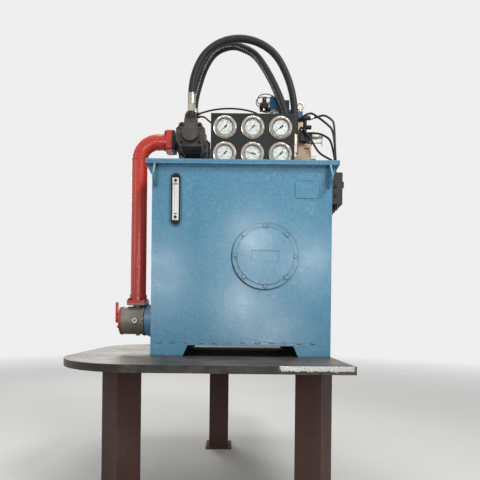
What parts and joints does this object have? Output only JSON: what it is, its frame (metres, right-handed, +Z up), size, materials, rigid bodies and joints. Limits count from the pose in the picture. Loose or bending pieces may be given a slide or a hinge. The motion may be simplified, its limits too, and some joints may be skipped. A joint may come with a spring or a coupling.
{
  "type": "hydraulic power unit of a die casting machine",
  "caption": "Blue oil tank with a red suction line, vane pump and motor, gauge panel, arched pressure hoses and valve tower, standing on a steel plate table with square legs.",
  "frame": {"origin": "on the ground, at the middle of the whole unit's outline seen from above", "axes": "+Z up, +X to the right seen from the gauge panel's side, +Y from the front to the back"},
  "size_m": [1.536, 1.53, 2.694],
  "materials": {
    "tank_paint": "glossy enamel",
    "table_plate": "worn, oily plate",
    "leg_primer": "matt primer",
    "pipe_red": "glossy enamel",
    "cast_grey": "as cast",
    "pump_iron": "satin paint",
    "black_iron": "satin paint",
    "motor_black": "satin paint",
    "panel_black": "satin powder coat",
    "zinc": "bright zinc plate",
    "hose_rubber": "satin",
    "stainless": "pressed stainless steel",
    "dial_white": "matt",
    "pointer_black": "matt",
    "raw_steel": "milled",
    "valve_blue": "satin",
    "level_white": "clear and white",
    "box_grey": "satin"
  },
  "bodies": {
    "root": {"table_top": "table_plate", "table_leg_front_left": "leg_primer", "table_leg_front_right": "leg_primer", "table_leg_rear": "leg_primer", "base_skirt_front": "tank_paint", "base_skirt_back": "tank_paint", "base_skirt_sides": "tank_paint", "tank_floor": "tank_paint", "tank_front_wall": "tank_paint", "tank_back_wall": "tank_paint", "tank_left_wall": "tank_paint", "tank_right_wall": "tank_paint", "tank_flange": "tank_paint", "tank_cover": "tank_paint", "lifting_lugs": "tank_paint", "flange_gussets": "tank_paint", "access_cover": "tank_paint", "level_frame": "tank_paint", "level_gauge": "level_white", "plate_pad": "tank_paint", "filler_breather": "zinc", "filter_neck": "tank_paint", "filter_body": "cast_grey", "filter_cap": "pipe_red", "filter_handle": "pipe_red", "suction_pipe": "pipe_red", "pipe_flanges": "pipe_red", "pump_adaptor": "black_iron", "pump_body": "pump_iron", "pump_end_cover": "pump_iron", "pump_bracket": "black_iron", "drive_motor": "motor_black", "motor_terminal_box": "motor_black", "outlet_flanges": "black_iron", "hose_fittings": "zinc", "arch_hose_front": "hose_rubber", "arch_hose_rear": "hose_rubber", "gauge_lines": "hose_rubber", "gauge_panel": "panel_black", "panel_stays": "panel_black", "gauge_cases": "stainless", "gauge_dials": "dial_white", "gauge_pointers": "pointer_black", "valve_tower": "raw_steel", "port_block": "raw_steel", "solenoid_valve": "valve_blue", "valve_coils": "black_iron", "relief_valves": "black_iron", "lifting_eye": "zinc", "port_fittings": "zinc", "terminal_box": "box_grey", "terminal_box_lid": "box_grey", "cable_glands": "pointer_black", "valve_cables": "hose_rubber"}
  },
  "joints": []
}
